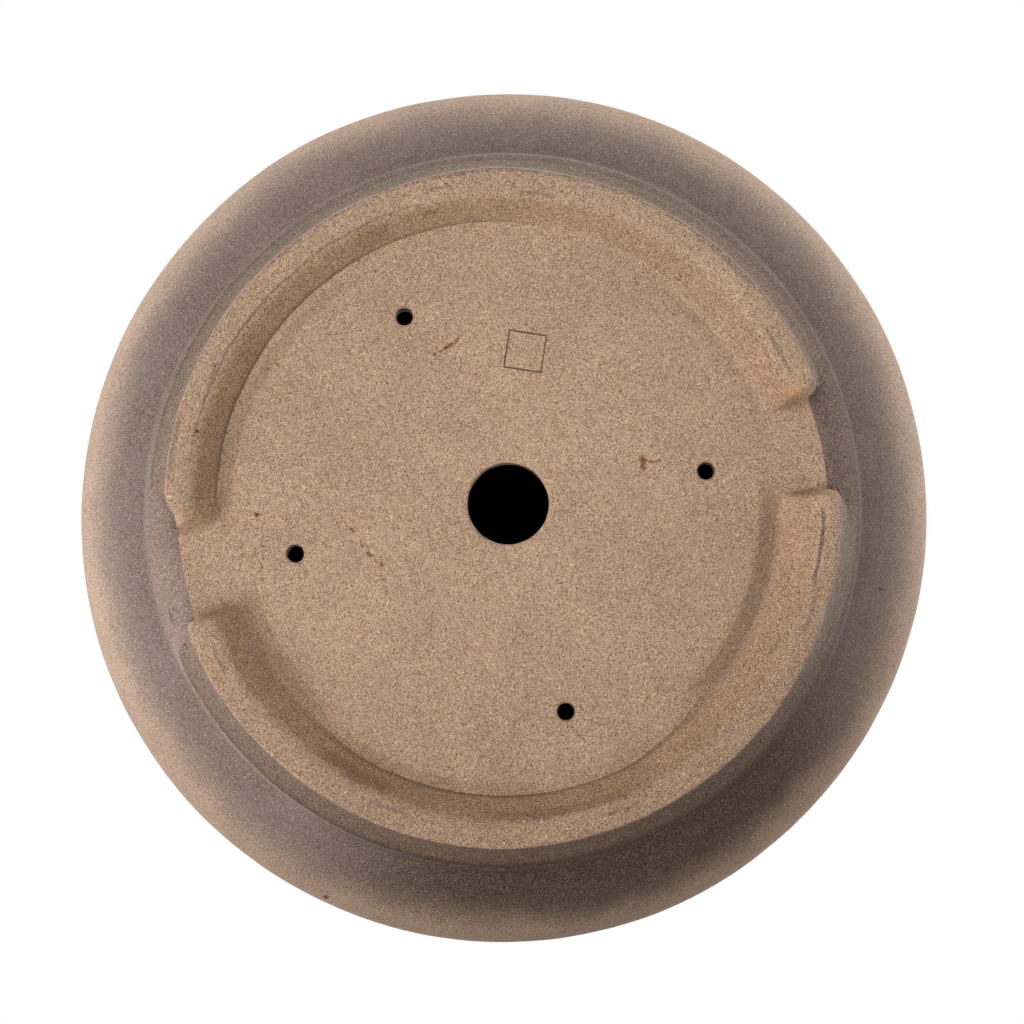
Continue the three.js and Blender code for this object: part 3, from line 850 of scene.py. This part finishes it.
def sand(c, kind):
    """Bare clay: light and dark grains with pits and bright flecks, painted shade on one side."""
    body = c.mix(c.grain, SAND_DARK, SAND_LIGHT)
    shade = c.product(c.ramp(c.drift, 0.3, 0.7, 0.95, 1.05), c.ramp(c.cloud, 0.3, 0.7, 0.97, 1.03))
    # painted shade: one side of the clay is darkened and browned
    painted_shade_side = c.ramp(c.vector("DOT_PRODUCT", c.flat, BROWN_AND_SHADED_FACING), -0.01, 0.13)
    if kind in ("wall", "rim"):
        girth = c.mix(c.grain, GIRTH_SAND_DARK, GIRTH_SAND_LIGHT)
        body = c.mix(c.ramp(c.height, 12.0, 22.0), body, girth)
        painted_shade_side = c.product(painted_shade_side, c.ramp(c.height, 38.0, 50.0, 1.0, 0.25))
        tint = (0.82, 0.77, 0.74)
        # painted light: the clay is lightened toward the girth
        girth_painted_light = c.ramp(c.height, 43.0, 51.0, 1.0, 1.08)
    elif kind == "floor":
        shade = c.product(shade, c.ramp(c.radius, 25.0, 98.0, 1.0, 0.93, False))
        tint = (0.88, 0.86, 0.85)
    else:
        shade = c.product(shade, c.ramp(c.height, 0.1, 1.2, 0.93, 0.99),
                          c.ramp(c.height, 8.4, 9.8, 1.0, 0.94))
        tint = (0.81, 0.775, 0.755)
    body = c.vector("SCALE", body, shade)
    body = c.mix(painted_shade_side, body, c.vector("MULTIPLY", body, tint))
    if kind in ("wall", "rim"):
        body = c.vector("SCALE", body, girth_painted_light)
    flecks = [(c.droplet, 0.94, 0.7, SAND_PIT), (c.speck, 0.965, 0.7, SAND_SPECK),
              (c.pit, 0.988, 0.7, DARK_GRAIN)]
    if kind in ("floor", "foot"):
        flecks.append((c.glint, 0.992, 0.6, GOLDEN_GRAIN))
    for value, above, strength, colour in flecks:
        body = c.mix(c.product(c.math("GREATER_THAN", value, above), strength), body, colour)
    return body


def shade_beside_root(c, ground):
    """Painted shade on the underside beside the root, across the joint of floor and foot."""
    root_shade = c.product(c.strokes(FLOOR_ROOT_SHADE, c.radius), c.ramp(c.rough, 0.3, 0.65, 1.0, 0.55),
                     c.ramp(c.height, 8.0, 9.6), c.ramp(c.height, 13.0, 12.0))
    return c.mix(root_shade, ground, SHADE_AND_DARK_MARK)


def stamp_dark_line(c):
    """Dark line along the sides of the impressed square."""
    place = c.local(c.flat, *STAMP_CENTRE, STAMP_TURN)
    x, y, _ = c.node("ShaderNodeSeparateXYZ", {0: place}).outputs
    edge = c.greatest(c.math("ABSOLUTE", x), c.math("ABSOLUTE", y))
    line = c.band(edge, STAMP_HALF, 0.12, 0.32)
    return c.product(line, c.ramp(c.drift, 0.35, 0.6, 0.6, 1), c.ramp(c.grain, 0.2, 0.8, 1, 0.7))


def floor_marks(c, ground):
    """Rust, pits, stamp line and painted shade at wire holes below; painted shade in the bores."""
    below = c.ramp(c.height, 13.0, 12.0)
    rust = c.product(c.spots(RUST_MARKS, 0.4), c.ramp(c.rough, 0.38, 0.58, 0.6, 1.0), below)
    ground = c.mix(rust, ground, c.mix(c.ramp(c.grain, 0.55, 0.3), RUST, DARK_BROWN_AND_SHADE))
    pits = c.product(c.spots(FLOOR_PITS), below)
    ground = c.mix(pits, ground, SHADE_AND_DARK_MARK)
    ground = c.mix(c.product(stamp_dark_line(c), below), ground, DARK_BROWN_AND_SHADE)
    # painted shade round the wire holes' mouths
    mouths = (c.ramp(c.vector("LENGTH", c.local(c.flat, *at)), 2.6, 3.7, 0.75, 0.0)
              for at in WIRE_HOLES)
    ground = c.mix(c.product(c.greatest(*mouths), below), ground, SHADE_AND_DARK_MARK)
    # painted shade: the bores darkened toward the dark brown
    bores = c.product(c.ramp(c.height, BORE_START, BORE_START + 0.9),
                      c.ramp(c.height, FLOOR_TOP - 0.4, FLOOR_TOP - 1.2),
                      c.ramp(c.radius, 82.0, 80.0), 0.9)
    return c.mix(bores, ground, DARK_BROWN_AND_SHADE), pits


def foot_marks(c, ground):
    """Painted shade on flank, dents and cut ends; darker joint, flame spots, smears and pits."""
    wavy_radius = c.math("ADD", c.radius, c.ramp(c.drift, 0.3, 0.7, -0.5, 0.5, False))
    smears = c.product(c.strokes(FOOT_SMEARS, wavy_radius), c.ramp(c.grain, 0.15, 0.7, 1.0, 0.55))
    # painted shade in the dents and on the cut ends
    shade_and_dark_joint = c.product(c.strokes(FOOT_PAINTED_SHADE, wavy_radius), c.ramp(c.rough, 0.3, 0.6, 1.0, 0.5))
    joint = c.product(c.ramp(c.height, 8.6, 9.9), c.ramp(c.radius, 103.0, 102.0))
    first, second = JOINT_FACINGS
    darker_stretch = c.greatest(0.15, c.toward(first, 0.6, 0.85), c.toward(second, 0.55, 0.8))
    shade_and_dark_joint = c.greatest(shade_and_dark_joint, c.product(joint, darker_stretch, 0.45))
    flank = c.product(c.ramp(c.height, 0.6, 2.5), c.ramp(c.height, 9.6, 8.6),
                      c.ramp(c.radius, 109.0, 107.0))
    # painted shade: the inner flank darkened and warmed, more on one side
    flank_shade = c.vector("SCALE", ground, c.ramp(c.grain, 0.0, 1.0, 0.82, 1.18, False))
    flank_shade = c.vector("SCALE", flank_shade, c.toward(FLANK_SHADE_FACING, 0.5, 0.9, 1.0, 0.9))
    ground = c.mix(flank, ground, c.vector("MULTIPLY", flank_shade, (0.88, 0.845, 0.775)))
    ground = c.mix(shade_and_dark_joint, ground, SHADE_AND_DARK_MARK)
    ember = c.product(c.spots(EMBERS, 0.2), c.ramp(c.speck, 0.3, 0.9, 0.15, 0.9))
    ground = c.mix(ember, ground, EMBER)
    ground = c.mix(smears, ground, SMEAR)
    pits = c.spots(TREAD_PITS)
    return c.mix(pits, ground, SHADE_AND_DARK_MARK), pits


def foot_wash(c, waver):
    """Wash on the flank, and the painted highlight and shade of its lower arris, with that colour.
    """
    low = c.ramp(c.radius, 111.9, 115.1, 6.4, 0.15, False)
    flank = c.product(c.ramp(c.radius, 111.2, 111.8),
                      c.ramp(c.height, low, c.math("ADD", low, 0.6)), 0.97)
    spill = c.ramp(c.math("MULTIPLY_ADD", waver, 0.45, c.radius), 113.9, 115.8, 0.0, 0.55)
    # painted highlight and shade along the lower arris, pale on one side and dark on the other
    arris_light_and_shade = c.product(c.band(c.height, 0.7, 0.3, 0.4), c.ramp(c.radius, 114.2, 114.8))
    colour = c.mix(c.toward(ARRIS_HIGHLIGHT_FACING, -0.1, 0.6), ARRIS_SHADE, ARRIS_HIGHLIGHT)
    return c.greatest(flank, spill), arris_light_and_shade, colour


def wall_wash(c, waver, brown):
    """Wash on the wall fading to the girth, and where it pooled, with painted highlight and shade.
    """
    longest = c.toward(BROWN_AND_SHADED_FACING, 0.92, 1.0, 0.0, -2.2)
    amount = c.ramp(c.math("ADD", c.math("ADD", c.height, waver), longest), 20.5, 37.0, 1.0, 0.0)
    pooled_and_highlit = c.product(c.band(c.height, LEDGE, 0.3, 0.45), 0.42)
    colour = c.mix(brown, POOLED, POOLED_BROWN)
    # painted highlight and shade: the pooled wash lighter on one side, darker on the other
    colour = c.vector("SCALE", colour, c.toward(POOL_HIGHLIGHT_FACING, -0.6, 0.4, 0.62, 1.12))
    return amount, pooled_and_highlit, colour


def wash_layer(c, kind):
    """How far the wash covers the clay, its colour, and its band of pooling and painted highlight.
    """
    # denser, browner wash on this side, which also carries painted shade
    brown = c.toward(BROWN_AND_SHADED_FACING, 0.55, 0.95)
    brown = c.math("ADD", brown, c.ramp(c.cloud, 0.35, 0.65, -0.08, 0.08))
    waver = c.math("ADD", c.ramp(c.drift, 0.3, 0.7, -1.4, 1.4, False),
                   c.ramp(c.cloud, 0.3, 0.7, -1.3, 1.3, False))
    # painted sheen: the wash is lightened on one side and dimmed on the other
    painted_sheen = c.toward(SHEEN_FACING, -0.1, 0.95, 0.60 if kind == "foot" else 0.80, 1.4)
    if kind == "foot":
        amount, pooled_and_highlit, lit_and_shaded_colour = foot_wash(c, waver)
        light, dark = FLANK_WASH, FLANK_BROWN
        sparse = c.math("MULTIPLY_ADD", brown, -0.05, 0.76)
    else:
        amount, pooled_and_highlit, lit_and_shaded_colour = wall_wash(c, waver, brown)
        light, dark = WASH_LIGHT, WASH_BROWN
        painted_sheen = c.mix(c.ramp(c.height, LEDGE - 1.1, LEDGE + 0.9), painted_sheen, (1.0, 1.0, 1.0, 1.0))
        sparse = c.math("MULTIPLY_ADD", brown, -0.18, c.ramp(c.radius, 117.0, 123.0, 0.70, 0.62))
    amount = c.product(amount, c.outside)
    shows = c.ramp(c.math("SUBTRACT", amount, c.droplet), -0.16, 0.16)
    cover = c.ramp(amount, 0.0, 1.0, shows, amount, False)
    # grains that stand proud keep less of the wash
    proud = c.product(c.ramp(c.speck, 0.35, 1.0), c.math("SUBTRACT", 1.0, pooled_and_highlit), sparse)
    cover = c.product(cover, c.math("SUBTRACT", 1.0, proud))
    pooled_and_highlit = c.product(pooled_and_highlit, c.outside)
    shade = c.product(c.ramp(c.grain, 0.0, 1.0, 0.52, 1.52, False),
                      c.ramp(c.drift, 0.3, 0.7, 1.14, 0.86), painted_sheen)
    if kind != "foot":
        # painted shade: the belly is darkened on one side
        shade = c.product(shade, c.toward(BELLY_SHADE_FACING, 0.86, 0.98, 1.0, 0.86))
    colour = c.vector("SCALE", c.mix(brown, light, dark), shade)
    return cover, c.mix(c.product(pooled_and_highlit, 0.8), colour, lit_and_shaded_colour), pooled_and_highlit


def clay(name, kind):
    """The material of the floor, a foot, the wall or the rim."""
    c = Clay(name)
    ground = sand(c, kind)
    roughness = c.ramp(c.rough, 0.3, 0.7, 0.80, 0.96)
    relief = c.math("ADD", c.product(c.grain, 0.7), c.product(c.rough, 0.8))
    if kind in ("floor", "foot"):
        marks = floor_marks if kind == "floor" else foot_marks
        ground, pits = marks(c, shade_beside_root(c, ground))
        relief = c.math("SUBTRACT", relief, c.product(pits, 1.6))
    if kind != "floor":
        cover, wash, pooled_and_highlit = wash_layer(c, kind)
        ground = c.mix(cover, ground, wash)
        washed = c.ramp(c.rough, 0.3, 0.7, 0.52, 0.68)
        bare = c.math("SUBTRACT", 1.0, cover)
        roughness = c.math("ADD", c.product(washed, cover), c.product(roughness, bare))
        relief = c.product(relief, c.ramp(pooled_and_highlit, 0.0, 1.0, 1.0, 0.35, False))
    if kind == "wall":
        ground = c.mix(c.product(c.spots(WALL_NICKS, 0.5), c.outside), ground, DARK_BROWN_AND_SHADE)

    bump = c.node("ShaderNodeBump", {"Strength": 0.5, "Distance": 0.1 * MM, "Height": relief})
    shader = c.node("ShaderNodeBsdfPrincipled", {
        "Base Color": ground, "Roughness": roughness, "IOR": 1.45, "Specular IOR Level": 0.2,
        "Normal": bump.outputs[0]})
    c.node("ShaderNodeOutputMaterial", {0: shader.outputs[0]})
    return c.material


for piece, _, _, kind in PIECES:
    piece.data.materials.append(clay("fired_clay_" + kind, kind))


# ---------- camera ----------
# The photograph's right and up in the part's frame, and what its circles give: focal length, place
# of the axis at the floor and vanishing point of the axis in pixels, and distance in metres
RIGHT = Vector((0.9808, 0.1951, 0.0))
UP = Vector((0.1951, -0.9808, 0.0))
UNDER = Vector((0, 0, -1))
FOCAL_PIXELS = 3401.0
IMAGE = 1024.0
DISTANCE = 1.153
AXIS_AT = (502.8, 508.4)
VANISH = (519.0, 719.0)
SENSOR = 36.0


def ray(x, y):
    """Direction through a pixel, in the camera's own axes."""
    return Vector(((x - IMAGE / 2) / FOCAL_PIXELS, -(y - IMAGE / 2) / FOCAL_PIXELS, -1))


camera = linked("camera", bpy.data.cameras.new("camera"))
camera.data.sensor_width = SENSOR
camera.data.lens = FOCAL_PIXELS * SENSOR / IMAGE
camera.data.clip_start = 0.05
camera.data.clip_end = 20
straight = Matrix((RIGHT, UP, UNDER)).transposed()
turned = straight @ ray(*VANISH).normalized().rotation_difference(UNDER).to_matrix()
camera.matrix_world = Matrix.Translation(-(turned @ (ray(*AXIS_AT) * DISTANCE))) @ turned.to_4x4()
bpy.context.scene.camera = camera


# ---------- light ----------
# Soft lamps: bearing in the photograph, elevation toward the camera's side of the pot, and power
LAMPS = [
    ("low_left", 210, 32, 10.0), ("high_top", 120, 58, 6.0), ("low_right", 330, 32, 3.8),
    ("low_under", 240, 32, 0.8), ("mouth_left", 180, -12, 8.5), ("mouth_top", 90, -12, 7.2),
    ("mouth_corner", 45, -12, 5.8), ("mouth_right", 0, -12, 2.5), ("above_right", 0, -35, 8.1),
    ("above_top", 120, -35, 3.2),
]
LAMP_SIZE = 0.6
LAMP_DISTANCE = 1.2
AIMED_AT = Vector((0, 0, 0.02))
# Light that the backdrop sheds on the pot, where the camera and reflections see it as 1
AMBIENT = 0.12


def lamp(name, bearing, elevation, power):
    b, e = math.radians(bearing), math.radians(elevation)
    way = (RIGHT * math.cos(b) + UP * math.sin(b)) * math.cos(e) + UNDER * math.sin(e)
    data = bpy.data.lights.new(name, "AREA")
    data.shape = "SQUARE"
    data.size = LAMP_SIZE
    data.energy = power
    item = linked(name, data)
    item.location = AIMED_AT + way * LAMP_DISTANCE
    item.rotation_mode = "QUATERNION"
    item.rotation_quaternion = (-way).to_track_quat("-Z", "Y")


for setting in LAMPS:
    lamp(*setting)

world = bpy.data.worlds.new("studio")
bpy.context.scene.world = world
world.use_nodes = True
w = Nodes(world.node_tree)
rays = w.node("ShaderNodeLightPath").outputs
seen = w.greatest(rays["Is Camera Ray"], rays["Is Glossy Ray"], rays["Is Transmission Ray"])
background = w.node("ShaderNodeBackground", {
    "Color": (1, 1, 1, 1), "Strength": w.ramp(seen, 0.0, 1.0, AMBIENT, 1.0, False)})
w.node("ShaderNodeOutputWorld", {"Surface": background.outputs[0]})


# ---------- floor to stand on, and painted shade inside, seen through the holes ----
DISC_SIDES = 96


def one_sided(name, colour, front):
    """A plain surface that only the camera sees, and only from its front or its back."""
    material = bpy.data.materials.new(name)
    material.use_nodes = True
    n = Nodes(material.node_tree)
    side = n.node("ShaderNodeNewGeometry").outputs["Backfacing"]
    if front:
        side = n.math("SUBTRACT", 1.0, side)
    seen = n.product(n.node("ShaderNodeLightPath").outputs["Is Camera Ray"], side)
    clear = n.node("ShaderNodeBsdfTransparent").outputs[0]
    paint = n.node("ShaderNodeBsdfDiffuse", {"Color": colour}).outputs[0]
    both = n.node("ShaderNodeMixShader", {0: seen, 1: clear, 2: paint})
    n.node("ShaderNodeOutputMaterial", {0: both.outputs[0]})
    return material


def disc(name, radius, height, material):
    """A level disc of the stage, which isn't part of the pot."""
    points = [(x, y, height) for x, y in ring((0, 0), radius, DISC_SIDES)]
    item = mesh_object(name, points, [list(range(DISC_SIDES))])
    item.data.materials.append(material)


disc("studio_floor", 6000.0, -0.1, one_sided("pale_floor", (0.84, 0.83, 0.81, 1), True))
# a black disc that stands in for the shade inside, seen only from below through the holes
disc("painted_shade_disc", 130.0, 86.0, one_sided("painted_shade_inside", (0.0, 0.0, 0.0, 1), False))

bpy.context.scene.view_settings.view_transform = "Standard"
